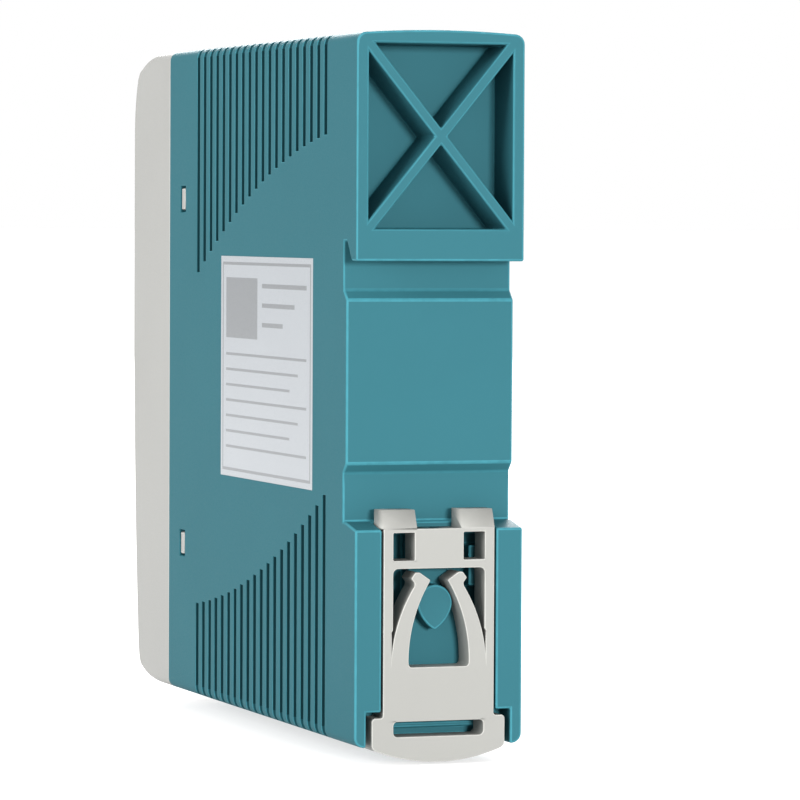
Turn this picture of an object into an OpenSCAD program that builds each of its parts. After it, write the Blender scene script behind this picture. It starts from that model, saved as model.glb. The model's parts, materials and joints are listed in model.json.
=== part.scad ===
// Slim power supply for 35 mm top-hat rail.
// Origin: middle of the rail on the rail seat. X across the width, -Y to the front, +Y to the wall, Z up.

/* [Body] */
// Width of the body
body_w = 22.5; // [22:0.1:23]
// Height of the side walls
body_h = 90; // [90:0.5:96]
// Depth of the teal housing, from the front cover to the rear face
housing_d = 82; // [80:0.5:90]
// Depth of the front cover
cover_d = 18; // [17.5:0.1:19]
// Wall thickness of the mouldings
wall = 1.7; // [1.5:0.1:1.9]
// Radius of the long edges of the body
edge_r = 1.3; // [0.8:0.1:1.5]
// Bulge of the top and bottom faces at their middle
crown = 0.45; // [0.3:0.05:0.6]

/* [Rail] */
// Width of the rail over its lips
rail_w = 35; // [35:0.1:35.2]
// How far the rear face stands behind the rail seat
rear_y = 5; // [5:0.1:5.4]
// How far the middle of the body lies below the middle of the rail
body_drop = 1; // [0.5:0.1:1.5]

/* [Grip grooves] */
// Number of grooves in each set
groove_count = 20; // [8:1:21]
// Distance between grooves
groove_pitch = 2.93; // [2.8:0.01:2.95]
// Width of a groove
groove_w = 1.2; // [0.8:0.1:1.4]
// Depth of a groove
groove_depth = 0.8; // [0.3:0.1:0.8]

/* [Rail latch] */
// Half width of the latch between the ears of the housing
latch_half_w = 7.45; // [7.3:0.05:7.5]
// Thickness of the latch
latch_t = 3.85; // [3.7:0.05:3.9]
// Radius of the round end of the boss between the spring arms
boss_r = 2.35; // [2:0.05:2.35]

/* [Terminals] */
// Distance between poles
pole_pitch = 6; // [5.9:0.05:6.1]
// Radius of a wire entry
wire_r = 1.65; // [1.4:0.05:1.7]
// Radius of a clamp screw's thread
screw_r = 1.43; // [1.4:0.01:1.45]

/* [Hidden] */
$fn = 48;

eps = 0.1;
teal = [0.28, 0.52, 0.58];
pale_grey = [0.81, 0.81, 0.79];
block_grey = [0.24, 0.26, 0.27];
plated = [0.78, 0.79, 0.80];
ferrite = [0.16, 0.16, 0.17];
copper = [0.72, 0.42, 0.22];
aluminium = [0.70, 0.71, 0.72];
chip_black = [0.08, 0.08, 0.09];

// Body outline
half_w = body_w / 2;
z_top = body_h / 2 - body_drop;
z_bottom = -body_h / 2 - body_drop;
joint_y = rear_y - housing_d;
front_y = joint_y - cover_d;
inner_rear_y = -3.4;
crown_r = (half_w * half_w + crown * crown) / (2 * crown);

// Rail channel
lip_t = 1;
lip_z = rail_w / 2 + 0.3;
hook_tip_z = 15.3;
hook_tip_y = 3;
lower_lip_z = -18.6;
pad_half_h = 10.4;
pad_h = 1.2;

// Ribbed recess above the rail
recess_depth = 6.75;
recess_half_w = 9.65;
recess_z = [19.4, 42.7];
rib_w = 1.35;

// Grip grooves: the inner ends of each set lie on one shallow curve
groove_first_y = -7.6;
groove_end_z = 31.4;
groove_end_slope = 0.123;
groove_end_bend = 0.00365;

// Snap windows in the sides
snap_y = -70.6;
snap_z = [23.3, -25.1];
snap_window = [2.4, 3.7];
snap_gap = 0.3;

// Rating label on the side
label_y = [-52.4, -12.4];
label_z = [-14.5, 15.5];
label_t = 0.2;

// Vents in the top and bottom faces
vent_count = 12;
vent_pitch = 4;
vent_first_y = -60;
vent_size = [13, 1.8];

// Latch and its channel between the ears
ear_gap = 0.25;
channel_y = 0.85;
latch_y = rear_y - latch_t;
channel_half_w = latch_half_w + ear_gap;
handle_half_w = 8.95;
handle_channel_half_w = 9.7;
handle_top_z = -42.4;
handle_step_z = -41.65;
handle_bottom_z = -48.15;
handle_corner_z = -46.4;
latch_top_z = -18.5;
prong_x = [3, 7.4];
prong_tip_z = -16.15;
prong_tip_y = 4;
flange_half_w = 8.9;
flange_t = 0.7;
flange_z = [-40, -22];
window_half_w = 6.15;
window_z = [-33.2, -23.55];
window_corner_r = 0.6;
slit_half_w = 6.3;
slit_z = [-34.2, -31.4];
opening_half_w = 4;
opening_bottom_z = -36.05;
small_window_x = [3.3, 6.15];
small_window_z = [-22.5, -19];
pull_slot_half_w = 6.05;
pull_slot_z = [-44.85, -42.9];
finger_groove_z = [[-45.2, -44.1], [-43.4, -42.6]];
boss_z = -28.1;
boss_side_r = 5;
boss_side_a = -20;
boss_y = 3.4;

// Spring arms: two arcs, the inner and the outer side of an arm
arm_hinge = [4.93, -32.4];
arm_knuckle_r = 1.05;
arm_foot_z = -32.2;
arm_y = rear_y - 3.2;
arm_inner = [-15.45, -35.3, 19.5];
arm_outer = [-13.55, -36.5, 20];
arm_head_z = [-25.75, -25.8];

// Terminal blocks, drawn for the upper one and mirrored about the middle of the body for the lower one
block_half_w = 9.45;
block_floor_z = 28.8;
block_rear_y = -79.5;
screw_z = 33.5;
wire_y = -84.8;
head_seat_y = -93.05;
head_r = 1.9;
chamber_y = [-92.2, -81.7];
chamber_half = [2.5, 2.6];
cage_y = [-89, -82];
cage_half = [2.3, 2.3];
cage_window_y = [-87.8, -82.9];
cage_window_half_w = 1.7;
bar_y = [-87.4, -86.6];
bar_half_w = 1.35;
lower_block_shift = 2;

// Circuit board, parallel to the left side wall
board_x = -7.6;
board_t = 1.6;
board_face_x = board_x + board_t;
board_y = [-73, -6];
board_z = [-43, 41];
tongue_y = -89;
tongue_z = [-26.5, 25.5];

// Points of an arc in the drawing plane, from angle a0 to a1
function arc(cx, cy, r, a0, a1, n) =
  [for (i = [0:n]) let(a = a0 + (a1 - a0) * i / n) [cx + r * cos(a), cy + r * sin(a)]];

// Outline of the body across its depth, moved inwards by inset
function body_points(inset) =
  let(
    r = edge_r - min(inset, edge_r - 0.3),
    w = half_w - inset,
    rc = crown_r - inset,
    top_c = z_top + crown - crown_r,
    bottom_c = z_bottom - crown + crown_r,
    rise = sqrt(pow(rc - r, 2) - pow(w - r, 2)),
    lean = atan2(rise, w - r)
  )
  concat(
    arc(w - r, top_c + rise, r, 0, lean, 6),
    arc(0, top_c, rc, lean, 180 - lean, 12),
    arc(r - w, top_c + rise, r, 180 - lean, 180, 6),
    arc(r - w, bottom_c - rise, r, 180, 180 + lean, 6),
    arc(0, bottom_c, rc, 180 + lean, 360 - lean, 12),
    arc(w - r, bottom_c - rise, r, 360 - lean, 360, 6)
  );

// Side view of the front cover, moved inwards by inset. It stands a hair clear of the crown's highest line
cover_top_z = z_top + crown + 0.03;
cover_bottom_z = z_bottom - crown - 0.03;
cap_r = 42;
top_corner_r = 1.9;
top_corner_a = 111;
bottom_corner_r = 2.2;
bottom_corner_a = 251;
brow_r = 18;
brow_z = 33;
brow_a = 154.6;
chin_r = 416;
chin_z = 5;
chin_a = 186.4;
function cover_points(inset) =
  let(
    top_c = cover_top_z - cap_r,
    bottom_c = cover_bottom_z + cap_r,
    top_reach = cap_r - top_corner_r,
    bottom_reach = cap_r - bottom_corner_r
  )
  concat(
    [[joint_y + 5, cover_top_z - inset]],
    arc(joint_y, top_c, cap_r - inset, 90, top_corner_a, 8),
    arc(
      joint_y + top_reach * cos(top_corner_a), top_c + top_reach * sin(top_corner_a),
      top_corner_r - inset, top_corner_a + 5, brow_a - 5, 3
    ),
    arc(front_y + brow_r, brow_z, brow_r - inset, brow_a, 180, 6),
    arc(front_y + chin_r, chin_z, chin_r - inset, 180, chin_a, 8),
    arc(
      joint_y + bottom_reach * cos(bottom_corner_a), bottom_c + bottom_reach * sin(bottom_corner_a),
      bottom_corner_r - inset, chin_a + 5, bottom_corner_a - 5, 4
    ),
    arc(joint_y, bottom_c, cap_r - inset, bottom_corner_a, 270, 8),
    [[joint_y + 5, cover_bottom_z + inset]]
  );

// Extrudes a side view (Y, Z) along X
module along_x(x, w) {
  translate([x, 0, 0]) rotate([90, 0, 90]) linear_extrude(w) children();
}

// Extrudes a front view (X, Z) along Y, from y0 to y1
module along_y(y0, y1) {
  translate([0, y1, 0]) rotate([90, 0, 0]) linear_extrude(y1 - y0) children();
}

// A box between two corners
module block(low, high) {
  translate(low) cube(high - low);
}

// A flat rectangle between two corners
module rect(low, high) {
  translate(low) square(high - low);
}

// A flat rectangle with true round corners
module round_rect(low, high, r) {
  rect([low.x + r, low.y], [high.x - r, high.y]);
  rect([low.x, low.y + r], [high.x, high.y - r]);
  for (x = [low.x + r, high.x - r]) {
    for (y = [low.y + r, high.y - r]) {
      translate([x, y]) circle(r);
    }
  }
}

// A round bar along Y
module rod_y(x, z, r, y0, y1) {
  translate([x, y1, z]) rotate([90, 0, 0]) cylinder(r = r, h = y1 - y0);
}

// A round bar along Z
module rod_z(x, y, r, z0, z1) {
  translate([x, y, z0]) cylinder(r = r, h = z1 - z0);
}

// A round bar along X
module rod_x(y, z, r, x0, x1) {
  translate([x0, y, z]) rotate([0, 90, 0]) cylinder(r = r, h = x1 - x0);
}

// Draws its children on both sides of the middle plane
module both_sides() {
  children();
  mirror([1, 0, 0]) children();
}

// Places what is drawn for the upper terminal block at the upper or the lower one
module at_block(upper) {
  if (upper) {
    children();
  } else {
    translate([0, lower_block_shift, -2 * body_drop]) mirror([0, 0, 1]) children();
  }
}

function pole_x(i) = (i - 1) * pole_pitch;

// ---------- Housing ----------

module rear_profile() {
  polygon([
    [joint_y, z_bottom - 2],
    [rear_y, z_bottom - 2],
    [rear_y, lower_lip_z],
    [lip_t, -lip_z],
    [0, -lip_z],
    [0, -pad_half_h - pad_h],
    [pad_h, -pad_half_h],
    [pad_h, pad_half_h],
    [0, pad_half_h + pad_h],
    [0, lip_z],
    [lip_t + 0.15, lip_z],
    [hook_tip_y, hook_tip_z],
    [rear_y, hook_tip_z],
    [rear_y, z_top + 2],
    [joint_y, z_top + 2]
  ]);
}

module rib_recess() {
  middle = (recess_z[0] + recess_z[1]) / 2;
  lean = atan2(recess_z[1] - recess_z[0], 2 * recess_half_w);
  along_y(rear_y - recess_depth, rear_y + eps) difference() {
    rect([-recess_half_w, recess_z[0]], [recess_half_w, recess_z[1]]);
    for (a = [lean, -lean]) {
      translate([0, middle]) rotate(a) square([60, rib_w], center = true);
    }
  }
}

// Height at which the groove stops, for the set that opens at the top
function groove_end(y) =
  let(u = groove_first_y + 0.2 - y) groove_end_z - groove_end_slope * u - groove_end_bend * u * u;

module side_grooves() {
  span = (groove_count - 1) * groove_pitch;
  for (i = [0:groove_count - 1]) {
    y = groove_first_y - i * groove_pitch;
    opposite_y = 2 * groove_first_y - span - y;
    upper_z = groove_end(y);
    lower_z = -groove_end(opposite_y) - 1.7;
    block([half_w - groove_depth, y - groove_w / 2, upper_z], [half_w + 1, y + groove_w / 2, z_top + 2]);
    block([half_w - groove_depth, y - groove_w / 2, z_bottom - 2], [half_w + 1, y + groove_w / 2, lower_z]);
  }
}

module snap_windows() {
  for (z = snap_z) {
    block(
      [half_w - wall - 1, snap_y - snap_window.x / 2, z - snap_window.y / 2],
      [half_w + 1, snap_y + snap_window.x / 2, z + snap_window.y / 2]
    );
  }
}

module vents() {
  for (i = [0:vent_count - 1]) {
    y = vent_first_y + i * vent_pitch;
    for (z = [z_top, z_bottom]) {
      translate([0, y, z]) cube([vent_size.x, vent_size.y, 6], center = true);
    }
  }
}

module latch_channel() {
  along_y(channel_y, rear_y + eps) {
    rect([-channel_half_w, z_bottom - 3], [channel_half_w, -lip_z + 1]);
    rect([-handle_channel_half_w, z_bottom - 3], [handle_channel_half_w, handle_step_z]);
  }
  groove_top_z = flange_z[1] + 1.2;
  block(
    [-flange_half_w - ear_gap, channel_y, z_bottom - 3],
    [flange_half_w + ear_gap, latch_y + flange_t + 0.25, groove_top_z]
  );
  both_sides() difference() {
    block([2.7, -1.6, -29], [channel_half_w, channel_y + eps, -19.4]);
    block([5.6, -2, -26.2], [channel_half_w + 1, 0.6, -21]);
  }
  for (z = finger_groove_z) {
    block([-7, channel_y - 1.3, z[0]], [7, channel_y + eps, z[1]]);
  }
}

// Round above, with two bowed sides that meet in a point below
module arm_boss() {
  side_x = (boss_side_r - boss_r) * cos(boss_side_a);
  side_z = boss_z - (boss_side_r - boss_r) * sin(boss_side_a);
  tip_a = acos(side_x / boss_side_r);
  along_y(channel_y - eps, boss_y) polygon(concat(
    arc(0, boss_z, boss_r, boss_side_a, 180 - boss_side_a, 24),
    arc(side_x, side_z, boss_side_r, 185 - boss_side_a, 180 + tip_a, 6),
    arc(-side_x, side_z, boss_side_r, 5 - tip_a, boss_side_a - 5, 5)
  ));
}

module board_guides() {
  for (z = [[board_z[0] - 1.4, board_z[0] + 1.2], [board_z[1] - 1.2, board_z[1] + 1.6]]) {
    block([board_x - 1.3, board_y[0] + 4, z[0]], [board_x - 0.1, inner_rear_y + eps, z[1]]);
    block([board_face_x + 0.1, board_y[0] + 4, z[0]], [board_face_x + 1.3, inner_rear_y + eps, z[1]]);
  }
}

module housing() {
  color(teal) {
    difference() {
      intersection() {
        along_y(joint_y, rear_y) polygon(body_points(0));
        along_x(-half_w, body_w) rear_profile();
      }
      along_y(joint_y - eps, inner_rear_y) polygon(body_points(wall));
      rib_recess();
      both_sides() side_grooves();
      both_sides() snap_windows();
      vents();
      latch_channel();
      block([half_w - label_t, label_y[0], label_z[0]], [half_w + 1, label_y[1], label_z[1]]);
    }
    arm_boss();
    board_guides();
    block([-7, channel_y - eps, finger_groove_z[0][1]], [7, channel_y + 0.2, finger_groove_z[1][0]]);
  }
}

module side_label() {
  color([0.73, 0.75, 0.77])
    block([half_w - label_t, label_y[0], label_z[0]], [half_w, label_y[1], label_z[1]]);
}

// ---------- Front cover ----------

front_label_z = [-26, 12];
trimmer_at = [-3.2, 20.6];
lamp_at = [-3.2, 16.2];
trimmer_hole_r = 1.8;
light_pipe_r = 1.25;

module snap_tab(z) {
  half_h = snap_window.y / 2 - snap_gap;
  half_l = snap_window.x / 2 - snap_gap;
  inner_x = half_w - wall - 0.1;
  block([inner_x - 0.9, joint_y - 3, z - half_h], [inner_x, snap_y + half_l, z + half_h]);
  block([inner_x - 0.2, snap_y - half_l, z - half_h], [half_w - 0.05, snap_y + half_l, z + half_h]);
  block([inner_x - 0.9, joint_y - 3, z - half_h], [inner_x + 0.5, joint_y - 1, z + half_h]);
}

module front_cover() {
  color(pale_grey) {
    difference() {
      intersection() {
        along_y(front_y - 1, joint_y) polygon(body_points(0));
        along_x(-half_w, body_w) polygon(cover_points(0));
      }
      intersection() {
        along_y(front_y - 1, joint_y + 1) polygon(body_points(wall));
        along_x(-half_w, body_w) polygon(cover_points(wall));
      }
      for (upper = [true, false]) {
        at_block(upper) block(
          [-block_half_w - 0.1, front_y - 6, block_floor_z - 0.1],
          [block_half_w + 0.1, block_rear_y + 0.1, z_top + 5]
        );
      }
      rod_y(trimmer_at.x, trimmer_at.y, trimmer_hole_r, front_y - 1, front_y + 4);
      rod_y(lamp_at.x, lamp_at.y, light_pipe_r + 0.05, front_y - 1, front_y + 4);
    }
    both_sides() for (z = snap_z) snap_tab(z);
  }
}

// The label lies on the cover and follows its bowed front
module front_label() {
  color([0.30, 0.55, 0.60])
    intersection() {
      difference() {
        along_x(-8.6, 17.2) polygon(cover_points(-label_t));
        along_x(-9, 18) polygon(cover_points(0));
      }
      block([-9, front_y - 2, front_label_z[0]], [9, front_y + 6, front_label_z[1]]);
    }
}

// ---------- Rail latch ----------

module latch_outline() {
  difference() {
    union() {
      rect([-latch_half_w, handle_top_z], [latch_half_w, latch_top_z]);
      intersection() {
        rise = handle_corner_z - handle_bottom_z;
        arc_r = (handle_half_w * handle_half_w + rise * rise) / (2 * rise);
        rect([-handle_half_w, handle_bottom_z - 1], [handle_half_w, handle_top_z]);
        translate([0, handle_bottom_z + arc_r]) circle(arc_r, $fn = 180);
      }
    }
    round_rect([-window_half_w, window_z[0]], [window_half_w, window_z[1]], window_corner_r);
    rect([-window_half_w, window_z[0]], [window_half_w, window_z[0] + 1]);
    for (side = [-1, 1]) {
      rect(
        [min(side * slit_half_w, side * 5.9), slit_z[0]],
        [max(side * slit_half_w, side * 5.9), slit_z[1]]
      );
      translate([side * arm_hinge.x, arm_hinge.y]) circle(arm_knuckle_r + 0.08);
      rect(
        [min(side * small_window_x[0], side * small_window_x[1]), small_window_z[0]],
        [max(side * small_window_x[0], side * small_window_x[1]), small_window_z[1]]
      );
    }
    round_rect([-opening_half_w, opening_bottom_z], [opening_half_w, window_z[0] + 1], 0.5);
    round_rect([-pull_slot_half_w, pull_slot_z[0]], [pull_slot_half_w, pull_slot_z[1]], 0.5);
  }
}

module rail_prong() {
  along_x(prong_x[0], prong_x[1] - prong_x[0]) polygon([
    [latch_y, latch_top_z - 1],
    [latch_y, prong_tip_z],
    [prong_tip_y, prong_tip_z],
    [rear_y, latch_top_z],
    [rear_y, latch_top_z - 1]
  ]);
}

module din_latch() {
  color(pale_grey) {
    along_y(latch_y, rear_y) latch_outline();
    both_sides() rail_prong();
    both_sides() block([latch_half_w - 1, latch_y, flange_z[0]], [flange_half_w, latch_y + flange_t, flange_z[1]]);
  }
}

// Angle at which a side's circle reaches height z
function side_angle(side, z) = asin((z - side[1]) / side[2]);

module latch_arm() {
  a_low = side_angle(arm_inner, arm_foot_z);
  a_high = side_angle(arm_inner, arm_head_z[0]);
  b_high = side_angle(arm_outer, arm_head_z[1]);
  b_low = side_angle(arm_outer, arm_foot_z);
  head = [[1.15, -25.05], [2.6, -24.05], [3.2, -24.05], [3.75, -24.8], [3.3, -25.4]];
  color(pale_grey) {
    along_y(arm_y, rear_y) polygon(concat(
      arc(arm_inner[0], arm_inner[1], arm_inner[2], a_low, a_high, 10),
      head,
      arc(arm_outer[0], arm_outer[1], arm_outer[2], b_high, b_low, 10)
    ));
    rod_y(arm_hinge.x, arm_hinge.y, arm_knuckle_r, arm_y, rear_y);
  }
}

module latch_arm_right() {
  latch_arm();
}

module latch_arm_left() {
  mirror([1, 0, 0]) latch_arm();
}

// ---------- Terminals ----------

module terminal_block(upper) {
  color(block_grey) difference() {
    intersection() {
      along_x(-block_half_w, 2 * block_half_w) polygon(cover_points(0.5));
      at_block(upper) block(
        [-block_half_w, front_y - 6, block_floor_z],
        [block_half_w, block_rear_y, z_top + 5]
      );
    }
    for (i = [0:2]) {
      at_block(upper) pole_cuts(pole_x(i));
    }
  }
}

module pole_cuts(x) {
  block(
    [x - chamber_half.x, chamber_y[0], screw_z - chamber_half.y],
    [x + chamber_half.x, chamber_y[1], screw_z + chamber_half.y]
  );
  block(
    [x - bar_half_w - 0.1, bar_y[0] - 0.1, block_floor_z - 1],
    [x + bar_half_w + 0.1, bar_y[1] + 0.1, screw_z]
  );
  rod_z(x, wire_y, wire_r, screw_z, z_top + 5);
  rod_y(x, screw_z, screw_r + 0.07, head_seat_y - eps, chamber_y[0] + eps);
  rod_y(x, screw_z, head_r + 0.1, front_y - 5, head_seat_y);
}

module clamp_screw(upper, i) {
  head_front_y = head_seat_y - 1.15;
  color(plated) at_block(upper) difference() {
    union() {
      rod_y(pole_x(i), screw_z, head_r, head_front_y, head_seat_y - 0.05);
      rod_y(pole_x(i), screw_z, screw_r, head_seat_y - 0.2, bar_y[0] - 0.5);
    }
    translate([pole_x(i), head_front_y, screw_z]) cube([2 * head_r + 1, 1.3, 0.6], center = true);
  }
}

module clamp_cage(upper, i) {
  x = pole_x(i);
  color(plated) at_block(upper) difference() {
    block(
      [x - cage_half.x, cage_y[0], screw_z - cage_half.y],
      [x + cage_half.x, cage_y[1], screw_z + cage_half.y]
    );
    block(
      [x - cage_window_half_w, cage_window_y[0], screw_z - 4],
      [x + cage_window_half_w, cage_window_y[1], screw_z + 4]
    );
    rod_y(x, screw_z, screw_r + 0.07, cage_y[0] - 1, cage_window_y[0] + 1);
  }
}

// Each bar hangs through its cage, runs back under the block and turns aside to the board
module contact_bars(upper) {
  bar_t = bar_y[1] - bar_y[0];
  tail_z = block_floor_z - 1.4;
  color([0.80, 0.66, 0.35]) at_block(upper) for (i = [0:2]) {
    x = pole_x(i);
    tail_y = board_y[0] - 0.05 + 2.6 * i - (upper ? 0 : lower_block_shift);
    block([x - bar_half_w, bar_y[0], tail_z - bar_t], [x + bar_half_w, bar_y[1], screw_z + 2.4]);
    block([x - bar_half_w, bar_y[0], tail_z - bar_t], [x + bar_half_w, tail_y, tail_z]);
    if (i > 0) {
      block([board_face_x, tail_y - 1.6, tail_z - bar_t], [x + bar_half_w, tail_y, tail_z]);
    }
  }
}

// ---------- Front controls ----------

module trimmer_body() {
  color([0.16, 0.33, 0.62]) difference() {
    block(
      [board_face_x, -88.6, trimmer_at.y - 2.4],
      [trimmer_at.x + 2.4, -84, trimmer_at.y + 2.4]
    );
    rod_y(trimmer_at.x, trimmer_at.y, 1.6, -89, -86.8);
  }
}

module trimmer_rotor() {
  color([0.92, 0.92, 0.90]) difference() {
    rod_y(trimmer_at.x, trimmer_at.y, 1.54, -91.6, -87);
    translate([trimmer_at.x, -91.6, trimmer_at.y]) cube([2.4, 1.4, 0.5], center = true);
  }
}

module light_pipe() {
  color([0.75, 0.90, 0.78]) rod_y(lamp_at.x, lamp_at.y, light_pipe_r, front_y + 0.05, -82.2);
}

module status_led() {
  color([0.55, 0.85, 0.45]) {
    block([board_face_x, -82, lamp_at.y - 1.3], [lamp_at.x + 1.2, -79.8, lamp_at.y + 1.3]);
  }
}

// ---------- Inside ----------

module main_board() {
  color([0.10, 0.34, 0.22]) {
    block([board_x, board_y[0], board_z[0]], [board_face_x, board_y[1], board_z[1]]);
    block([board_x, tongue_y, tongue_z[0]], [board_face_x, board_y[0] + eps, tongue_z[1]]);
  }
}

module insulating_sheet() {
  color([0.93, 0.92, 0.84])
    block([-9.4, board_y[0] + 5, board_z[0] + 2], [-9.1, board_y[1], board_z[1] - 2]);
}

// Transformer: its leg stands along Z in the middle of the core
core_y = [-48, -28];
core_x = [-4.2, 7.6];
core_z = [-9, 9];
leg_half = 3;
leg_y = -38;
core_window_z = 6;

module transformer_core() {
  color(ferrite) difference() {
    block([core_x[0], core_y[0], core_z[0]], [core_x[1], core_y[1], core_z[1]]);
    for (side = [-1, 1]) {
      translate([0, leg_y + side * 5.2, 0]) cube([40, 2 * (5.2 - leg_half), 2 * core_window_z], center = true);
    }
  }
}

module leg_ring(r_in, r_out, z0, z1) {
  mid_x = (core_x[0] + core_x[1]) / 2;
  half_x = (core_x[1] - core_x[0]) / 2;
  difference() {
    block([mid_x - half_x - r_out, leg_y - leg_half - r_out, z0], [mid_x + half_x + r_out, leg_y + leg_half + r_out, z1]);
    block([mid_x - half_x - r_in, leg_y - leg_half - r_in, z0 - 1], [mid_x + half_x + r_in, leg_y + leg_half + r_in, z1 + 1]);
  }
}

module transformer_bobbin() {
  color([0.15, 0.15, 0.14]) {
    leg_ring(0.05, 0.5, -5.9, 5.9);
    leg_ring(0.05, 1.7, -5.9, -5.2);
    leg_ring(0.05, 1.7, 5.2, 5.9);
  }
}

module transformer_winding() {
  color([0.88, 0.78, 0.25]) leg_ring(0.5, 1.5, -5.2, 5.2);
}

// Common mode choke: a ring on edge
choke_at = [1.8, -62, -31];
module choke_core() {
  color(ferrite) translate(choke_at) rotate([90, 0, 0]) rotate_extrude() translate([3.4, -2]) square([2.4, 4]);
}

module choke_windings() {
  color(copper) translate(choke_at) rotate([90, 0, 0]) for (a = [20, 200]) {
    rotate(a) rotate_extrude(angle = 140) difference() {
      translate([2.5, -2.9]) square([4.2, 5.8]);
      translate([3.38, -2.02]) square([2.44, 4.04]);
    }
  }
}

module bulk_capacitor() {
  color([0.12, 0.14, 0.20]) difference() {
    rod_z(0.8, -59.5, 6.3, -21, 2);
    rod_z(0.8, -59.5, 5.2, 1.8, 3);
  }
}

module output_capacitors() {
  color([0.10, 0.12, 0.18]) for (z = [11, 20.5]) {
    difference() {
      rod_x(-61, z, 4.2, board_face_x, 6.5);
      rod_x(-61, z, 3.4, 6.3, 8);
    }
  }
}

module x_capacitor() {
  color([0.83, 0.70, 0.22]) block([board_face_x, -50.5, -38], [5.5, -43, -23]);
}

module y_capacitor() {
  color([0.20, 0.42, 0.70]) rod_y(-1.6, -15.5, 3.6, -40, -37);
}

module fuse() {
  color([0.80, 0.78, 0.70]) rod_z(-3.9, -70, 1.9, -19, -9);
}

module inrush_thermistor() {
  color([0.13, 0.30, 0.18]) rod_y(-1.4, -36, 4.2, -41.5, -38.8);
}

module bridge_rectifier() {
  color(chip_black) block([board_face_x, -36, -40], [3, -32.4, -25]);
}

// A flat plate with short fins on its far side
module heatsink(y, z0, z1) {
  color(aluminium) {
    block([board_face_x, y, z0], [8.4, y + 1.6, z1]);
    fin_pitch = (z1 - z0 - 1) / 4;
    for (i = [0:4]) {
      block([-4, y + 1.5, z0 + i * fin_pitch], [8.4, y + 5, z0 + 1 + i * fin_pitch]);
    }
  }
}

module tab_package(y, z) {
  color(chip_black) block([-2, y - 4.4, z - 5], [7.4, y, z + 5]);
  color(plated) for (i = [-1, 0, 1]) {
    block([board_face_x, y - 2.6, z + 2.54 * i - 0.4], [-1.9, y - 2, z + 2.54 * i + 0.4]);
  }
}

module primary_heatsink() {
  heatsink(-20, -34, -12);
}

module power_switch() {
  tab_package(-20, -23);
}

module secondary_heatsink() {
  heatsink(-20, 14, 36);
}

module output_rectifier() {
  tab_package(-20, 25);
}

inductor_at = [-46, 26];
module inductor_core() {
  color(ferrite) {
    rod_x(inductor_at.x, inductor_at.y, 2.6, -5, 5);
    rod_x(inductor_at.x, inductor_at.y, 5.6, board_face_x, -4.6);
    rod_x(inductor_at.x, inductor_at.y, 5.6, 4.6, 6);
  }
}

module inductor_winding() {
  color(copper) difference() {
    rod_x(inductor_at.x, inductor_at.y, 5, -4.6, 4.6);
    rod_x(inductor_at.x, inductor_at.y, 2.6, -5, 5);
  }
}

module optocoupler() {
  color(chip_black) block([board_face_x + 0.4, -34, 12], [-2.2, -29.4, 18.5]);
  color(plated) for (z = [13.9, 16.4]) {
    for (y = [-34.6, -29.4]) {
      block([board_face_x, y, z], [-4, y + 0.6, z + 0.6]);
    }
  }
}

module controller_chip() {
  color(chip_black) block([board_face_x, -14, -8], [-4.5, -10, -3]);
}

// ---------- Assembly ----------

housing();
front_cover();
side_label();
front_label();
din_latch();
latch_arm_left();
latch_arm_right();
terminal_block(true);  // output_terminal_block
terminal_block(false);  // input_terminal_block
for (i = [0:2]) {
  clamp_screw(true, i);
  clamp_screw(false, i);
  clamp_cage(true, i);
  clamp_cage(false, i);
}
contact_bars(true);  // output_contact_bars
contact_bars(false);  // input_contact_bars
trimmer_body();
trimmer_rotor();
light_pipe();
status_led();
main_board();
insulating_sheet();
transformer_core();
transformer_bobbin();
transformer_winding();
choke_core();
choke_windings();
bulk_capacitor();
output_capacitors();
x_capacitor();
y_capacitor();
fuse();
inrush_thermistor();
bridge_rectifier();
power_switch();
primary_heatsink();
output_rectifier();
secondary_heatsink();
inductor_core();
inductor_winding();
optocoupler();
controller_chip();
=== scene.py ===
# Looks of a slim power supply for top-hat rail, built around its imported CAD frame.
import json
import math

import bmesh
import bpy
from mathutils import Matrix, Vector


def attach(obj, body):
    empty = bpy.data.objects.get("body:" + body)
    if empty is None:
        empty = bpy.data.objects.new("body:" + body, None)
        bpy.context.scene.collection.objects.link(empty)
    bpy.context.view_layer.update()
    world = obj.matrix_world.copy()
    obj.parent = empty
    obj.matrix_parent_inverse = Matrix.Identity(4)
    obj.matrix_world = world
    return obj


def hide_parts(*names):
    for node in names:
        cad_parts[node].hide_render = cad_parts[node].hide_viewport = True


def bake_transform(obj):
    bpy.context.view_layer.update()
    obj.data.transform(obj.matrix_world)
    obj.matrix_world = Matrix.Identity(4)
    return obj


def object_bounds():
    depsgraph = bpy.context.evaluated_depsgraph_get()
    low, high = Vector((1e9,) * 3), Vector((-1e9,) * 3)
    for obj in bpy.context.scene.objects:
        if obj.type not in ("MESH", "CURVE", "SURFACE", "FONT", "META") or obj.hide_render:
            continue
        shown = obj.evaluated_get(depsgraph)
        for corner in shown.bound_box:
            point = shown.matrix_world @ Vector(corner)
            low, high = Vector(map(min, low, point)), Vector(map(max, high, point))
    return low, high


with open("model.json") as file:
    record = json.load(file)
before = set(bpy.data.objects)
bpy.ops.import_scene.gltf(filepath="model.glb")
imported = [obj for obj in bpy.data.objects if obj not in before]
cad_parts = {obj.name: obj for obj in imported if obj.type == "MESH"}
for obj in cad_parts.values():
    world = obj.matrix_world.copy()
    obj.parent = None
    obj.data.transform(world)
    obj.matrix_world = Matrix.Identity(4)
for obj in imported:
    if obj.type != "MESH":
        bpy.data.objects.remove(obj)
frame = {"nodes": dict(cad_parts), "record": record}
cad_low, cad_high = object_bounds()

MM = 0.001


# ---------- Camera, floor and lights ----------

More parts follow.
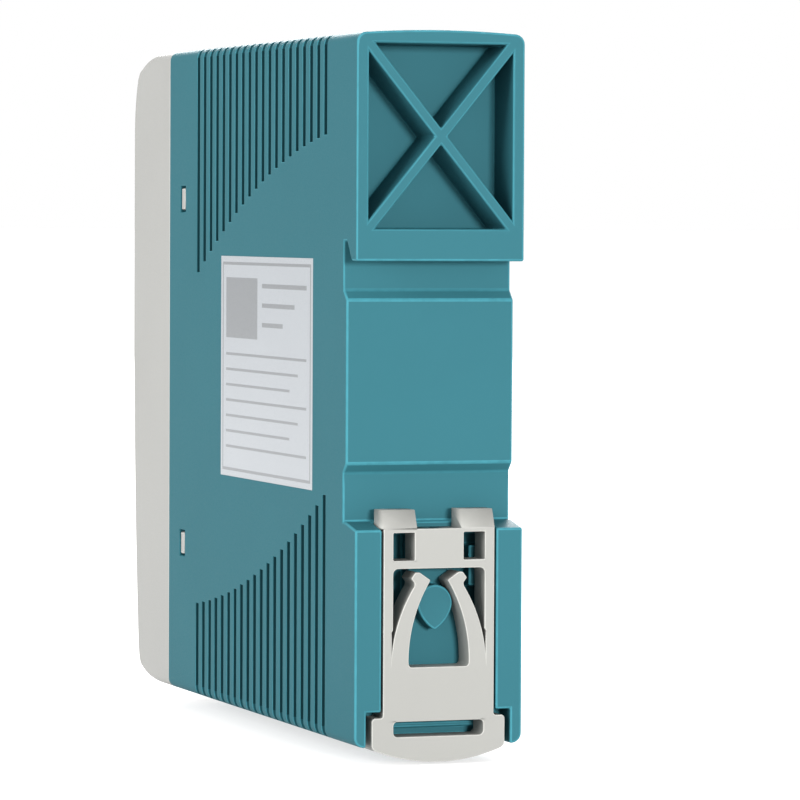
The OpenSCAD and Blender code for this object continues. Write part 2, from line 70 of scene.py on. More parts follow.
# The camera's place and lens in millimetres, and its turns in degrees
CAMERA_PLACE = (202.67, 565.89, 20.50)
CAMERA_YAW = 19.378
CAMERA_PITCH = 2.185
CAMERA_ROLL = 0.270
CAMERA_LENS = 212.4

# Each light's name, place and side in metres, and watts
LIGHTS = (
    ("key", (-0.12, 1.6, 0.15), 0.25, 40),
    ("side", (1.5, 0.3, 0.5), 1.0, 36),
    ("front", (-0.5, -1.3, 0.7), 1.0, 45),
)

# The floor's side in metres, its gap below the part in millimetres, and its looks
FLOOR_SIZE = 60
FLOOR_GAP = 0.3
FLOOR_GREY = 0.35
FLOOR_GLOW = 0.65


def make_camera():
    """The camera stands behind the part, off to its +X side and a little above its middle."""
    yaw, pitch, roll = (math.radians(a) for a in (CAMERA_YAW, CAMERA_PITCH, CAMERA_ROLL))
    level = Vector((-math.sin(yaw), -math.cos(yaw), 0))
    side = Vector((-math.cos(yaw), math.sin(yaw), 0))
    up = Vector((0, 0, 1))
    forward = level * math.cos(pitch) - up * math.sin(pitch)
    tilted = up * math.cos(pitch) + level * math.sin(pitch)
    right = side * math.cos(roll) + tilted * math.sin(roll)
    above = tilted * math.cos(roll) - side * math.sin(roll)
    data = bpy.data.cameras.new("photo_camera")
    data.lens = CAMERA_LENS
    data.clip_start = 0.01
    data.clip_end = 50
    camera = bpy.data.objects.new("photo_camera", data)
    place = Vector(CAMERA_PLACE) * MM
    camera.matrix_world = Matrix((
        (right.x, above.x, -forward.x, place.x),
        (right.y, above.y, -forward.y, place.y),
        (right.z, above.z, -forward.z, place.z),
        (0, 0, 0, 1),
    ))
    bpy.context.scene.collection.objects.link(camera)
    bpy.context.scene.camera = camera


def area_light(name, place, size, power, target):
    """A square light, turned to face the target."""
    data = bpy.data.lights.new(name, "AREA")
    data.size = size
    data.energy = power
    light = bpy.data.objects.new(name, data)
    light.location = place
    aim = Vector(target) - Vector(place)
    light.rotation_euler = aim.to_track_quat("-Z", "Y").to_euler()
    bpy.context.scene.collection.objects.link(light)


def make_studio():
    """A small key light behind the camera, broad lights from the side and the front, and a white sky."""
    middle = (cad_low + cad_high) / 2
    for name, place, size, power in LIGHTS:
        area_light(name, place, size, power, middle)
    world = bpy.data.worlds.new("studio")
    world.use_nodes = True
    sky = world.node_tree.nodes["Background"]
    sky.inputs["Color"].default_value = (1, 1, 1, 1)
    sky.inputs["Strength"].default_value = 1.0
    bpy.context.scene.world = world
    bpy.context.scene.view_settings.view_transform = "Standard"


def make_floor():
    """A pale floor that reaches past the horizon, just under the part."""
    bpy.ops.mesh.primitive_plane_add(size=FLOOR_SIZE, location=(0, 0, cad_low.z - FLOOR_GAP * MM))
    floor = bpy.context.object
    floor.name = "floor"
    material = bpy.data.materials.new("floor")
    material.use_nodes = True
    shader = material.node_tree.nodes["Principled BSDF"]
    shader.inputs["Base Color"].default_value = (FLOOR_GREY, FLOOR_GREY, FLOOR_GREY, 1)
    shader.inputs["Roughness"].default_value = 0.9
    shader.inputs["Emission Color"].default_value = (1, 1, 1, 1)
    shader.inputs["Emission Strength"].default_value = FLOOR_GLOW
    floor.data.materials.append(material)


# ---------- Places on the part, in millimetres ----------

HALF_WIDTH = 11.25
COVER_JOINT_Y = -77

# The hollow inside the housing ends short of these
INSIDE_HALF_WIDTH = 9.7
INSIDE_BACK_Y = -3.3

# Edges beyond this are edges of a side face
SIDE_FACE_X = 10.9

# The grip grooves lie between these, which end short of the crowned top and bottom, and get painted shade
# inside them
GROOVE_X = (10.2, 11.2)
GROOVE_Y = (-66, -6)
GROOVE_SHADE_Z = (-44.6, 42.9)

# How much of the housing's rounding its groove rims get
GROOVE_RIM = 0.45

SIDE_LABEL = (("Y", -52.4, -12.4), ("Z", -14.5, 15.5))
FRONT_LABEL = (("X", -8.6, 8.6), ("Z", -26, 12))


# ---------- Materials ----------


class Finish:
    """A material being built from nodes. Places are in metres, in the part's own frame."""

    def __init__(self, name, rough, worn_and_highlit, metal=0.0, coat=0.0, shine=0.5):
        self.worn_and_highlit = worn_and_highlit
        self.material = bpy.data.materials.new(name + "_edge" if worn_and_highlit else name)
        self.material.use_nodes = True
        self.tree = self.material.node_tree
        self.shader = self.tree.nodes["Principled BSDF"]
        self.shader.inputs["Roughness"].default_value = rough
        self.shader.inputs["Metallic"].default_value = metal
        self.shader.inputs["Specular IOR Level"].default_value = shine
        self.shader.inputs["Coat Weight"].default_value = coat
        self.shader.inputs["Coat Roughness"].default_value = 0.15
        coordinates = self.node("ShaderNodeTexCoord")
        self.place = coordinates.outputs["Object"]
        self.facing = coordinates.outputs["Normal"]
        self.bump = None

    def node(self, kind, **settings):
        made = self.tree.nodes.new(kind)
        for name, value in settings.items():
            setattr(made, name, value)
        return made

    def link(self, source, target):
        self.tree.links.new(source, target)

    def noise(self, size_mm, detail=3.0, stretch=(1, 1, 1)):
        """Noise with features of about size_mm, drawn out along any axis by stretch."""
        mapping = self.node("ShaderNodeMapping")
        mapping.inputs["Scale"].default_value = tuple(1000 / size_mm / s for s in stretch)
        self.link(self.place, mapping.inputs["Vector"])
        noise = self.node("ShaderNodeTexNoise")
        noise.inputs["Scale"].default_value = 1
        noise.inputs["Detail"].default_value = detail
        self.link(mapping.outputs["Vector"], noise.inputs["Vector"])
        return noise.outputs["Fac"]

    def span(self, value, low, high, to_low, to_high):
        """Maps low..high to to_low..to_high and holds the ends."""
        made = self.node("ShaderNodeMapRange")
        made.inputs["From Min"].default_value = low
        made.inputs["From Max"].default_value = high
        made.inputs["To Min"].default_value = to_low
        made.inputs["To Max"].default_value = to_high
        self.link(value, made.inputs["Value"])
        return made.outputs["Result"]

    def combine(self, operation, a, b):
        """a and b are sockets or numbers."""
        made = self.node("ShaderNodeMath", operation=operation)
        for socket, value in zip(made.inputs, (a, b)):
            if isinstance(value, (int, float)):
                socket.default_value = value
            else:
                self.link(value, socket)
        return made.outputs["Value"]

    def mix(self, share, a, b):
        """a and b are colours or sockets, and share is a socket."""
        made = self.node("ShaderNodeMix", data_type="RGBA")
        self.link(share, made.inputs["Factor"])
        for socket, value in zip((made.inputs[6], made.inputs[7]), (a, b)):
            if isinstance(value, tuple):
                socket.default_value = (*value, 1)
            else:
                self.link(value, socket)
        return made.outputs[2]

    def axis(self, name):
        parts = self.node("ShaderNodeSeparateXYZ")
        self.link(self.place, parts.inputs["Vector"])
        return parts.outputs[name]

    def inside(self, axis, low_mm, high_mm):
        """1 where the place lies between low and high along an axis."""
        value = self.axis(axis)
        above = self.combine("GREATER_THAN", value, low_mm * MM)
        below = self.combine("LESS_THAN", value, high_mm * MM)
        return self.combine("MULTIPLY", above, below)

    def box(self, axis_a, low_a, high_a, axis_b, low_b, high_b):
        """1 where the place lies between low and high along both axes."""
        return self.combine(
            "MULTIPLY", self.inside(axis_a, low_a, high_a), self.inside(axis_b, low_b, high_b)
        )

    def border(self, label, margin, line):
        """1 on a line that runs round a label, a margin in from its edges."""
        (axis_a, low_a, high_a), (axis_b, low_b, high_b) = label
        outer, inner = (
            self.box(axis_a, low_a + inset, high_a - inset, axis_b, low_b + inset, high_b - inset)
            for inset in (margin, margin + line)
        )
        return self.combine("SUBTRACT", outer, inner)

    def rubbed_and_highlit(self, body, color, share=1.0):
        """body, turning to color on outer edges, partly as rubbed wear and partly as a painted highlight.
        Inner corners stay as they are.
        """
        if not self.worn_and_highlit:
            return body
        point = self.node("ShaderNodeNewGeometry").outputs["Pointiness"]
        edge = self.span(point, 0.5, 0.53, 0, share)
        patchy = self.span(self.noise(1.5), 0.3, 0.6, 0.6, 1)
        return self.mix(self.combine("MULTIPLY", edge, patchy), body, color)

    def painted_corner_highlight(self):
        """A painted highlight: 1 along the middle of a rounded edge that runs up the body, falling to 0
        on its flats.
        """
        parts = self.node("ShaderNodeSeparateXYZ")
        self.link(self.facing, parts.inputs["Vector"])
        both = self.combine("MULTIPLY", parts.outputs["X"], parts.outputs["Y"])
        return self.combine("POWER", self.combine("ABSOLUTE", self.combine("MULTIPLY", both, 2), 0), 4)

    def add_bump(self, height, strength, depth_mm):
        made = self.node("ShaderNodeBump")
        made.inputs["Strength"].default_value = strength
        made.inputs["Distance"].default_value = depth_mm * MM
        self.link(height, made.inputs["Height"])
        if self.bump:
            self.link(self.bump, made.inputs["Normal"])
        self.bump = made.outputs["Normal"]
        self.link(self.bump, self.shader.inputs["Normal"])

    def color(self, socket):
        self.link(socket, self.shader.inputs["Base Color"])

    def base_color(self):
        """The socket that colours the finish so far."""
        return self.shader.inputs["Base Color"].links[0].from_socket

    def rough(self, socket):
        self.link(socket, self.shader.inputs["Roughness"])


def shade(color, factor):
    return tuple(min(1.0, c * factor) for c in color)


def moulded(
    name, worn_and_highlit, color, rough=0.45, grain_mm=0.12, depth_mm=0.006, edge=1.25, coat=0.0, shine=0.5
):
    """Moulded plastic: fine spark grain, faint flow marks, paler edges that are partly rubbed wear and
    partly painted highlight, and a painted highlight down upright rounded corners.
    """
    f = Finish(name, rough, worn_and_highlit, coat=coat, shine=shine)
    flow = f.span(f.noise(14, 4), 0.3, 0.7, 0, 1)
    body = f.mix(flow, shade(color, 0.985), shade(color, 1.015))
    # Painted highlight down the middle of upright rounded corners, 0.8 of the way to the edge tone
    corner = f.combine("MULTIPLY", f.painted_corner_highlight(), 0.8)
    # Paler rounded edges: partly rubbed wear, partly painted highlight
    f.color(f.rubbed_and_highlit(f.mix(corner, body, shade(color, edge)), shade(color, edge)))
    grain = f.noise(grain_mm, 4)
    f.rough(f.span(grain, 0.3, 0.7, rough - 0.06, rough + 0.08))
    f.add_bump(f.noise(6, 2), 0.15, 0.004)
    f.add_bump(grain, 0.5, depth_mm)
    return f


def shell_with_painted_groove_shade(name, worn_and_highlit, color, **settings):
    """The housing's moulded plastic, with painted shade down inside the grip grooves."""
    f = moulded(name, worn_and_highlit, color, **settings)
    out = f.combine("ABSOLUTE", f.axis("X"), 0)
    above_floor = f.combine("GREATER_THAN", out, GROOVE_X[0] * MM)
    below_rim = f.combine("LESS_THAN", out, GROOVE_X[1] * MM)
    painted_groove_shade = f.combine("MULTIPLY", below_rim, above_floor)
    painted_groove_shade = f.combine("MULTIPLY", painted_groove_shade, f.box("Y", *GROOVE_Y, "Z", *GROOVE_SHADE_Z))
    # Painted shade: the groove walls and floors are painted at half the shell's tone
    f.color(f.mix(painted_groove_shade, f.base_color(), shade(color, 0.5)))
    return f


def metal(name, worn_and_highlit, color, rough=0.32, stretch=(1, 1, 12), edge=1.2):
    """Plated, stamped or milled metal with drawn scratches and brighter edges."""
    f = Finish(name, rough, worn_and_highlit, metal=1.0)
    scratch = f.noise(0.12, 5, stretch)
    stain = f.span(f.noise(2.5, 3), 0.3, 0.7, 0, 1)
    body = f.mix(stain, shade(color, 0.9), color)
    # Paler edges: partly rubbed wear, partly painted highlight
    f.color(f.rubbed_and_highlit(body, shade(color, edge)))
    f.rough(f.span(scratch, 0.3, 0.7, rough - 0.1, rough + 0.15))
    f.add_bump(scratch, 0.4, 0.008)
    return f


def sintered(name, worn_and_highlit, color):
    """Dull pressed ceramic with pits and chipped edges."""
    f = Finish(name, 0.7, worn_and_highlit)
    speckle = f.span(f.noise(0.25, 6), 0.55, 0.75, 0, 1)
    body = f.mix(speckle, color, shade(color, 1.7))
    f.color(f.rubbed_and_highlit(body, shade(color, 2.2)))
    f.rough(f.span(f.noise(0.6), 0.3, 0.7, 0.6, 0.85))
    f.add_bump(f.noise(0.3, 5), 0.5, 0.03)
    return f


def wound(name, worn_and_highlit, color, wire_mm, axis):
    """Turns of wire or tape laid side by side along one axis."""
    f = Finish(name, 0.35, worn_and_highlit, coat=0.4)
    turn = f.combine("MULTIPLY", f.axis(axis), 2 * math.pi / (wire_mm * MM))
    ridge = f.span(f.combine("SINE", turn, 0), -1, 1, 0, 1)
    # Painted shade: the hollows between turns are darkened to 0.45 of the colour
    body = f.mix(ridge, shade(color, 0.45), color)
    f.color(f.rubbed_and_highlit(body, shade(color, 1.2), 0.5))
    f.rough(f.span(f.noise(0.8), 0.3, 0.7, 0.25, 0.45))
    f.add_bump(ridge, 0.8, wire_mm * 0.25)
    f.add_bump(f.noise(0.4, 3), 0.3, 0.01)
    return f


def side_label_film(name, worn_and_highlit):
    """Silvery film with a printed border, blank panels and ruled lines."""
    film = (0.20, 0.215, 0.23)
    f = moulded(name, worn_and_highlit, film, rough=0.32, grain_mm=0.08, depth_mm=0.002, edge=1.1, coat=0.2)
    print_mask = f.border(SIDE_LABEL, margin=0.8, line=0.4)
    print_mask = f.combine("MAXIMUM", print_mask, f.box("Y", -50, -36, "Z", 4.4, 12.6))
    fine_rules = [(-50, -15 - 3.5 * (i % 3), 2.2 - 2.1 * i, 0.18) for i in range(7)]
    bold_rules = [(-34, -15 - 5 * i, 11.6 - 2.6 * i, 0.3) for i in range(3)]
    for start_y, end_y, z, half in fine_rules + bold_rules:
        rule = f.box("Y", start_y, end_y, "Z", z - half, z + half)
        print_mask = f.combine("MAXIMUM", print_mask, rule)
    f.color(f.mix(print_mask, f.base_color(), (0.09, 0.098, 0.105)))
    return f


def front_label_film(name, worn_and_highlit):
    """Printed film on the front: a deep ground, a pale edge and one pale panel."""
    film = (0.014, 0.055, 0.075)
    f = moulded(name, worn_and_highlit, film, rough=0.35, grain_mm=0.08, depth_mm=0.002, edge=1.1, shine=0.2)
    pale = f.border(FRONT_LABEL, margin=0.5, line=0.3)
    pale = f.combine("MAXIMUM", pale, f.box("X", -7.1, 7.1, "Z", 3.2, 10.4))
    for i in range(4):
        z = -13 - 2.6 * i
        rule = f.box("X", -6.6, 6.6 - 2.2 * (i % 2), "Z", z - 0.2, z + 0.2)
        pale = f.combine("MAXIMUM", pale, rule)
    f.color(f.mix(pale, f.base_color(), (0.21, 0.22, 0.22)))
    return f


def circuit_board(name, worn_and_highlit):
    """Green solder mask over tracks, with bare pads."""
    tracks_per_metre = 260
    pads_per_metre = 320
    f = Finish(name, 0.35, worn_and_highlit, coat=0.3)
    cells = f.node("ShaderNodeTexVoronoi", feature="DISTANCE_TO_EDGE", distance="MANHATTAN")
    cells.inputs["Scale"].default_value = tracks_per_metre
    f.link(f.place, cells.inputs["Vector"])
    track = f.span(cells.outputs["Distance"], 0.04, 0.07, 1, 0)
    body = f.mix(track, (0.012, 0.11, 0.055), (0.03, 0.2, 0.10))
    dots = f.node("ShaderNodeTexVoronoi", feature="F1")
    dots.inputs["Scale"].default_value = pads_per_metre
    f.link(f.place, dots.inputs["Vector"])
    pad = f.span(dots.outputs["Distance"], 0.16, 0.2, 1, 0)
    f.color(f.mix(pad, body, (0.62, 0.60, 0.54)))
    f.rough(f.span(f.noise(1.2), 0.3, 0.7, 0.28, 0.5))
    f.add_bump(track, 0.4, 0.03)
    f.add_bump(f.noise(0.5, 3), 0.2, 0.01)
    return f


def clear_moulding(name, worn_and_highlit, color, clearness):
    """Clear or tinted resin with faint swirls."""
    f = moulded(name, worn_and_highlit, color, rough=0.12, grain_mm=0.3, depth_mm=0.004, edge=1.1, coat=0.5)
    f.shader.inputs["Transmission Weight"].default_value = clearness
    f.shader.inputs["IOR"].default_value = 1.49
    return f


# edge sets how pale rounded edges (and, on moulded plastic, upright corners) are painted: partly rubbed
# wear, partly painted highlight
FINISHES = {
    "teal_shell": (shell_with_painted_groove_shade, dict(
        color=(0.019, 0.0854, 0.104), rough=0.5, grain_mm=0.14, depth_mm=0.008, edge=1.75, shine=0.03,
    )),
    "grey_cover": (moulded, dict(color=(0.222, 0.222, 0.212), rough=0.5, edge=1.4, shine=0.2)),
    "latch_plastic": (moulded, dict(color=(0.192, 0.192, 0.180), edge=1.5, shine=0.2)),
    "silver_label": (side_label_film, {}),
    "front_print": (front_label_film, {}),
    "block_plastic": (moulded, dict(
        color=(0.022, 0.025, 0.027), rough=0.5, grain_mm=0.1, edge=1.8, shine=0.2,
    )),
    "plated_steel": (metal, dict(color=(0.34, 0.345, 0.35))),
    "tinned_brass": (metal, dict(color=(0.38, 0.27, 0.10))),
    "trimmer_blue": (moulded, dict(color=(0.012, 0.05, 0.20), rough=0.35)),
    "rotor_white": (moulded, dict(color=(0.32, 0.32, 0.31))),
    "light_pipe": (clear_moulding, dict(color=(0.25, 0.45, 0.28), clearness=0.6)),
    "led": (clear_moulding, dict(color=(0.25, 0.7, 0.15), clearness=0.3)),
    "board": (circuit_board, {}),
    "sheet": (moulded, dict(color=(0.4, 0.395, 0.34), rough=0.5, grain_mm=0.5, depth_mm=0.004)),
    "ferrite": (sintered, dict(color=(0.022, 0.022, 0.024))),
    "bobbin": (moulded, dict(color=(0.02, 0.02, 0.018), rough=0.5)),
    "winding_tape": (wound, dict(color=(0.42, 0.32, 0.03), wire_mm=1.1, axis="Z")),
    "copper_wire": (wound, dict(color=(0.35, 0.10, 0.03), wire_mm=0.7, axis="X")),
    "can_sleeve": (moulded, dict(
        color=(0.012, 0.015, 0.032), rough=0.25, grain_mm=0.4, depth_mm=0.01, edge=1.5, coat=0.4,
    )),
    "film_yellow": (moulded, dict(color=(0.4, 0.27, 0.025), rough=0.35)),
    "disc_blue": (moulded, dict(color=(0.02, 0.08, 0.26), rough=0.3, grain_mm=0.5, depth_mm=0.03)),
    "fuse_body": (moulded, dict(color=(0.34, 0.32, 0.25), rough=0.3, grain_mm=0.3, depth_mm=0.01)),
    "disc_green": (moulded, dict(color=(0.015, 0.08, 0.03), rough=0.4, grain_mm=0.5, depth_mm=0.03)),
    "chip_black": (moulded, dict(
        color=(0.012, 0.012, 0.013), rough=0.5, grain_mm=0.1, depth_mm=0.01, edge=2.0,
    )),
    "sink_aluminium": (metal, dict(color=(0.33, 0.335, 0.34), rough=0.38, stretch=(12, 1, 1))),
}
MATERIALS = {
    slot: [make(slot, worn_and_highlit, **settings).material for worn_and_highlit in (False, True)]
    for slot, (make, settings) in FINISHES.items()
}


# ---------- Pieces made from CAD meshes ----------

SHARP = math.radians(28)
SLOT_OF = {s["node"]: s["material_slot"] for s in frame["record"]["subparts"]}
BODY_OF = {
    node: body for body, nodes in frame["record"]["behaviour"]["bodies"].items() for node in nodes
}


def dress(piece, slot):
    """Gives a piece its finish: the first material for its faces, the second for its rounded edges."""
    piece.data.materials.clear()
    for material in MATERIALS[slot]:
        piece.data.materials.append(material)


def link_new(name, mesh):
    piece = bpy.data.objects.new(name, mesh)
    bpy.context.scene.collection.objects.link(piece)
    return piece


def tidy_mesh(mesh, weight_at=None, crease=SHARP):
    """Joins split points and flat triangles, and weights the sharp edges for a bevel.

    An edge that gets no bevel stays a hard line if it turns by more than the crease.
    """
    for name in ("custom_normal", "sharp_edge", "sharp_face"):
        if name in mesh.attributes:
            mesh.attributes.remove(mesh.attributes[name])
    work = bmesh.new()
    work.from_mesh(mesh)
    bmesh.ops.remove_doubles(work, verts=work.verts, dist=1e-6)
    bmesh.ops.dissolve_limit(
        work, angle_limit=math.radians(0.3), verts=work.verts, edges=work.edges, delimit=set()
    )
    layer = work.edges.layers.float.new("bevel_weight_edge")
    for edge in work.edges:
        weight = 0
        angle = edge.calc_face_angle(0) if len(edge.link_faces) == 2 else 0
        if angle > SHARP:
            middle = (edge.verts[0].co + edge.verts[1].co) / 2 / MM
            weight = weight_at(middle) if weight_at else 1
        edge[layer] = weight
        edge.smooth = angle < crease or weight > 0
    for face in work.faces:
        face.smooth = True
    work.to_mesh(mesh)
    work.free()


def add_rounding(piece, width_mm, clamp=True):
    bevel = piece.modifiers.new("round", "BEVEL")
    bevel.width = width_mm * MM
    bevel.segments = 3
    bevel.limit_method = "WEIGHT"
    bevel.use_clamp_overlap = clamp
    bevel.harden_normals = True
    bevel.material = 1


def housing_weight(p):
    """The housing's hidden and shallow edges stay sharp, and its groove rims are finer than the rest."""
    out = abs(p.x)
    inside = p.y < INSIDE_BACK_Y and out < INSIDE_HALF_WIDTH
    margin = 0.2
    (_, low_y, high_y), (_, low_z, high_z) = SIDE_LABEL
    near_label = low_y - margin < p.y < high_y + margin and low_z - margin < p.z < high_z + margin
    label_edge = near_label and p.x > SIDE_FACE_X
    if inside or label_edge or p.y < COVER_JOINT_Y + 0.1:
        return 0
    if out > GROOVE_X[0] and COVER_JOINT_Y + 2 < p.y < GROOVE_Y[1]:
        return GROOVE_RIM if out > HALF_WIDTH - 0.15 else 0
    return 1


def cover_weight(p):
    """Only the cover's upright edges beside the housing are rounded, because its lips are thin."""
    beside_housing = abs(p.x) > SIDE_FACE_X and p.y > COVER_JOINT_Y - 0.3
    between_lips = abs(p.z) < 40
    return 1 if beside_housing and between_lips else 0


def refined(node, name, width_mm, weight_at=None):
    """A copy of a CAD node's mesh with its triangles joined into faces and its edges rounded."""
    mesh = frame["nodes"][node].data.copy()
    mesh.name = name
    tidy_mesh(mesh, weight_at)
    piece = link_new(name, mesh)
    add_rounding(piece, width_mm, clamp=weight_at is None)
    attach(piece, BODY_OF[node])
    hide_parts(node)
    dress(piece, SLOT_OF[node])
    return piece


# ---------- Rail latch, in millimetres ----------

LATCH_BACK = 5.0
LATCH_FRONT = 1.15
LATCH_HALF_WIDTH = 7.45
LATCH_TOP_Z = -18.5
LATCH_ROUNDING = 0.12
LATCH_CREASE = math.radians(20)

PRONG_X = (3.0, LATCH_HALF_WIDTH)
PRONG_TOP_Z = -16.15
FLANGE_X = (6.5, 8.9)
FLANGE_Z = (-40, -22)
FLANGE_THICKNESS = 0.7

# A spring arm runs between two arcs, each a middle and a radius, and ends in a head. It is cut off
# the latch at ARM_CUT_Z and sliced across in steps up to a millimetre above ARM_STIFF_Z
OUTER_ARC = ((-13.55, -36.5), 20)
INNER_ARC = ((-15.45, -35.3), 19.5)
ARM_CUT_Z = -32.6
ARM_STIFF_Z = -28.6
HEAD_Z = (-25.6, -23.9)
HEAD_REACH = 5


def corner(before, point, after, radius, count=7):
    """Points of a rounded corner of an outline."""
    a = (Vector(before) - Vector(point)).normalized()
    b = (Vector(after) - Vector(point)).normalized()
    half = a.angle(b) / 2
    reach = radius / math.tan(half)
    middle = Vector(point) + (a + b).normalized() * (radius / math.sin(half))
    start = Vector(point) + a * reach - middle
    end = Vector(point) + b * reach - middle
    turn = start.angle_signed(end)
    return [middle + Matrix.Rotation(-turn * i / count, 2) @ start for i in range(count + 1)]


def outline(points):
    """Points of a closed outline from (x, z) or (x, z, corner radius)."""
    made = []
    count = len(points)
    for i, p in enumerate(points):
        if len(p) == 2:
            made.append(Vector(p))
        else:
            made += corner(points[i - 1][:2], p[:2], points[(i + 1) % count][:2], p[2])
    return made


def mirrored(points):
    """A right half from the top middle down, closed with its mirror image."""
    return points + [(-p[0], *p[1:]) for p in reversed(points)]


def rectangle(x0, x1, z0, z1, radius):
    return [(x0, z0, radius), (x1, z0, radius), (x1, z1, radius), (x0, z1, radius)]


def circle_x(circle, z):
    """The +X side of a circle, given as (middle, radius), at a height."""
    (x, middle_z), radius = circle
    return x + math.sqrt(radius**2 - (z - middle_z) ** 2)


def evenly(start, end, count):
    return [start + (end - start) * i / count for i in range(count + 1)]


def latch_outlines():
    """The plate with its two spring arms: the outside, the window round the arms, and the holes."""
    bottom_z, corner_z, handle_top_z = -48.15, -46.4, -42.4
    handle_w, window_w, slit_w = 8.95, 6.15, 6.3
    rise = corner_z - bottom_z
    bow = (handle_w**2 + rise**2) / (2 * rise)
    bottom = [(x, bottom_z + bow - math.sqrt(bow**2 - x**2)) for x in evenly(8.0, 1.0, 7)]
    outside = mirrored([
        (LATCH_HALF_WIDTH, LATCH_TOP_Z), (LATCH_HALF_WIDTH, handle_top_z, 0.35),
        (handle_w, handle_top_z, 0.5), (handle_w, corner_z, 0.9), *bottom,
    ])
    outer_arc = [(circle_x(OUTER_ARC, z), z) for z in evenly(-33.3, -25.8, 10)]
    inner_arc = [(circle_x(INNER_ARC, z), z) for z in evenly(-25.75, -35.2, 12)]
    head = [
        (3.3, -25.4), (3.75, -24.8, 0.15), (3.2, -24.05, 0.3),
        (2.6, -24.05, 0.25), (1.15, -25.05, 0.2),
    ]
    window = mirrored([
        (window_w, -23.55, 0.7), (window_w, -31.4), (slit_w, -31.45), (slit_w, -34.2),
        *outer_arc, *head, *inner_arc, (4.0, -36.05, 0.45),
    ])
    pull_slot = rectangle(-6.05, 6.05, -44.85, -42.9, 0.6)
    top_holes = [
        rectangle(x0, x1, -22.5, -19.0, 0.15) for x0, x1 in ((3.3, window_w), (-window_w, -3.3))
    ]
    return [outline(points) for points in (outside, window, pull_slot, *top_holes)]


def prism(name, loops, y0, y1):
    """A mesh between two depths, filled between the loops."""
    curve = bpy.data.curves.new(name, "CURVE")
    curve.dimensions = "2D"
    curve.fill_mode = "BOTH"
    curve.extrude = (y1 - y0) / 2 * MM
    for loop in loops:
        spline = curve.splines.new("POLY")
        spline.points.add(len(loop) - 1)
        for point, place in zip(spline.points, loop):
            point.co = (place[0] * MM, place[1] * MM, 0, 1)
        spline.use_cyclic_u = True
    drawn = link_new(name, curve)
    mesh = bpy.data.meshes.new_from_object(
        drawn.evaluated_get(bpy.context.evaluated_depsgraph_get())
    )
    bpy.data.objects.remove(drawn)
    mesh.transform(
        Matrix.Translation((0, (y0 + y1) / 2 * MM, 0)) @ Matrix.Rotation(math.pi / 2, 4, "X")
    )
    return mesh


def side_prism(name, profile, x0, x1):
    """A mesh from a side view (y, z) between two widths."""
    mesh = bpy.data.meshes.new(name)
    count = len(profile)
    points = [(x * MM, y * MM, z * MM) for x in (x0, x1) for y, z in profile]
    faces = [list(range(count)), list(range(2 * count - 1, count - 1, -1))]
    faces += [[i, i + count, (i + 1) % count + count, (i + 1) % count] for i in range(count)]
    mesh.from_pydata(points, [], faces)
    work = bmesh.new()
    work.from_mesh(mesh)
    bmesh.ops.recalc_face_normals(work, faces=work.faces)
    work.to_mesh(mesh)
    work.free()
    return mesh


def applied(piece):
    """The piece's mesh with its modifiers applied."""
    return bpy.data.meshes.new_from_object(
        piece.evaluated_get(bpy.context.evaluated_depsgraph_get())
    )


def fused(base, *others):
    """base's mesh joined to the others' with exact booleans."""
    piece = link_new("fusing", base)
    helpers = []
    for mesh in others:
        helper = link_new("fusing_part", mesh)
        helpers.append(helper)
        union = piece.modifiers.new("union", "BOOLEAN")
        union.operation = "UNION"
        union.solver = "EXACT"
        union.object = helper
    mesh = applied(piece)
    for made in (piece, *helpers):
        bpy.data.objects.remove(made)
    return mesh


def evened(mesh):
    """The mesh with its flat faces shaded flat right up to their rounded edges."""
    piece = link_new("evening", mesh)
    normals = piece.modifiers.new("normals", "WEIGHTED_NORMAL")
    normals.keep_sharp = True
    made = applied(piece)
    bpy.data.objects.remove(piece)
    return made


def in_arm(face):
    """Whether a face belongs to a spring arm above the cut."""
    c = face.calc_center_median() / MM
    if not ARM_CUT_Z < c.z < HEAD_Z[1]:
        return False
    middle, radius = OUTER_ARC
    reach = HEAD_REACH if c.z > HEAD_Z[0] else circle_x((middle, radius + LATCH_ROUNDING), c.z)
    return abs(c.x) < reach


def split_arms(mesh):
    """Cuts the arms off the latch and returns (latch mesh, right arm mesh, left arm mesh)."""
    meshes = []
    for keep in ("latch", "right", "left"):
        copy = mesh.copy()
        work = bmesh.new()
        work.from_mesh(copy)
        for z in evenly(ARM_CUT_Z, ARM_STIFF_Z + 1, 5):
            bmesh.ops.bisect_plane(
                work, geom=[*work.verts, *work.edges, *work.faces], dist=1e-7,
                plane_co=(0, 0, z * MM), plane_no=(0, 0, 1),
            )
        drop = []
        for face in work.faces:
            side = "latch"
            if in_arm(face):
                side = "right" if face.calc_center_median().x > 0 else "left"
            if side != keep:
                drop.append(face)
        bmesh.ops.delete(work, geom=drop, context="FACES")
        work.to_mesh(copy)
        work.free()
        meshes.append(copy)
    return meshes


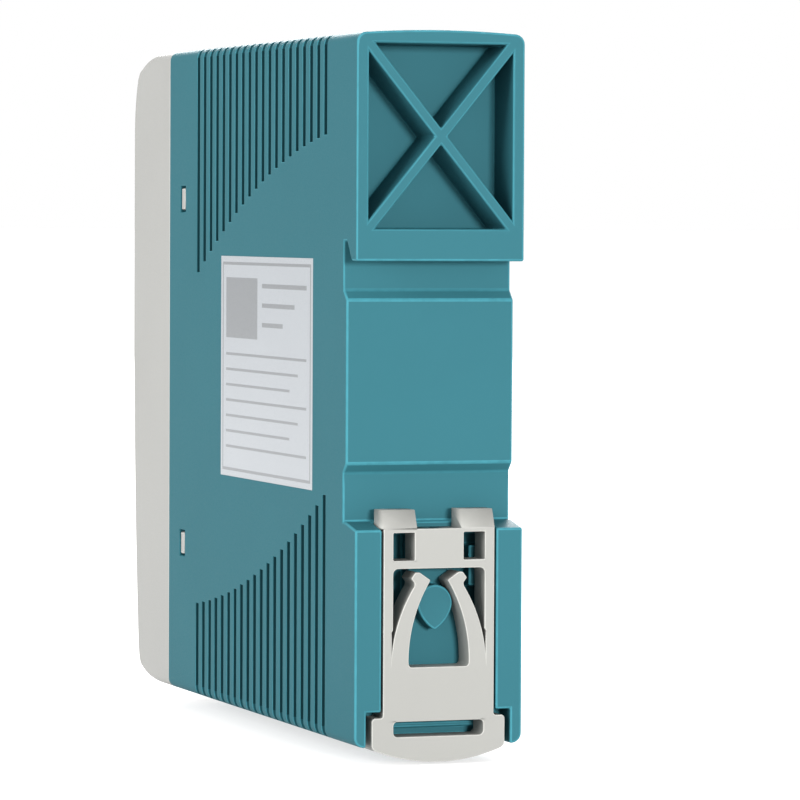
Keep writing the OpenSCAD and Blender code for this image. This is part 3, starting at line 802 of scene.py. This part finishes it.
def build_latch():
    """The plate, its rail prongs and side flanges as one part, with the spring arms as separate pieces.
    """
    plate = prism("rail_latch", latch_outlines(), LATCH_FRONT, LATCH_BACK)
    root_z = LATCH_TOP_Z - 0.3
    prong = [
        (LATCH_FRONT + 0.55, root_z), (LATCH_FRONT, LATCH_TOP_Z), (LATCH_FRONT, PRONG_TOP_Z),
        (LATCH_BACK - 1, PRONG_TOP_Z), (LATCH_BACK, LATCH_TOP_Z), (LATCH_BACK - 0.5, root_z),
    ]
    flange_back = LATCH_FRONT + FLANGE_THICKNESS
    flange = [
        (LATCH_FRONT, FLANGE_Z[0]), (flange_back, FLANGE_Z[0]),
        (flange_back, FLANGE_Z[1]), (LATCH_FRONT, FLANGE_Z[1]),
    ]
    extras = []
    for sign in (1, -1):
        for profile, reach in ((prong, PRONG_X), (flange, FLANGE_X)):
            low, high = sorted(sign * x for x in reach)
            extras.append(side_prism("latch_part", profile, low, high))
    tidy_mesh(plate)
    whole = fused(plate, *extras)
    tidy_mesh(whole, crease=LATCH_CREASE)
    shaped = link_new("latch_whole", whole)
    dress(shaped, "latch_plastic")
    add_rounding(shaped, LATCH_ROUNDING, clamp=False)
    finished = applied(shaped)
    bpy.data.objects.remove(shaped)
    latch_mesh, right_mesh, left_mesh = (evened(mesh) for mesh in split_arms(finished))
    latch = link_new("rail_latch", latch_mesh)
    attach(latch, "latch")
    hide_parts("din_latch")
    for side, mesh in (("right", right_mesh), ("left", left_mesh)):
        arm = link_new(f"spring_arm_{side}", mesh)
        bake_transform(arm)
        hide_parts(f"latch_arm_{side}")


# ---------- The rest ----------

# Width of each node's rounded edges in millimetres, where it isn't OTHER_ROUNDING
OTHER_ROUNDING = 0.1
ROUNDING = {
    "housing": 0.26, "front_cover": 0.3, "side_label": 0.05, "front_label": 0.05,
    "output_terminal_block": 0.15, "input_terminal_block": 0.15,
    "trimmer_body": 0.15, "trimmer_rotor": 0.08, "light_pipe": 0.15, "status_led": 0.2,
    "main_board": 0.05, "insulating_sheet": 0.05,
    "transformer_core": 0.3, "transformer_bobbin": 0.08, "transformer_winding": 0.3,
    "choke_core": 0.3, "choke_windings": 0.3, "bulk_capacitor": 0.3, "output_capacitors": 0.25,
    "x_capacitor": 0.4, "y_capacitor": 1.2, "fuse": 0.3, "inrush_thermistor": 1.0,
    "bridge_rectifier": 0.2, "power_switch": 0.12, "primary_heatsink": 0.12,
    "output_rectifier": 0.12, "secondary_heatsink": 0.12, "inductor_core": 0.2,
    "inductor_winding": 0.2, "optocoupler": 0.08, "controller_chip": 0.1,
}
WEIGHTS = {"housing": housing_weight, "front_cover": cover_weight}


def build_rest():
    """Every CAD node but the latch's three, with its triangles joined and its edges rounded."""
    for node in sorted(frame["nodes"]):
        if node in ("din_latch", "latch_arm_left", "latch_arm_right"):
            continue
        refined(node, f"{node}_shown", ROUNDING.get(node, OTHER_ROUNDING), WEIGHTS.get(node))


make_camera()
make_studio()
make_floor()
build_latch()
build_rest()
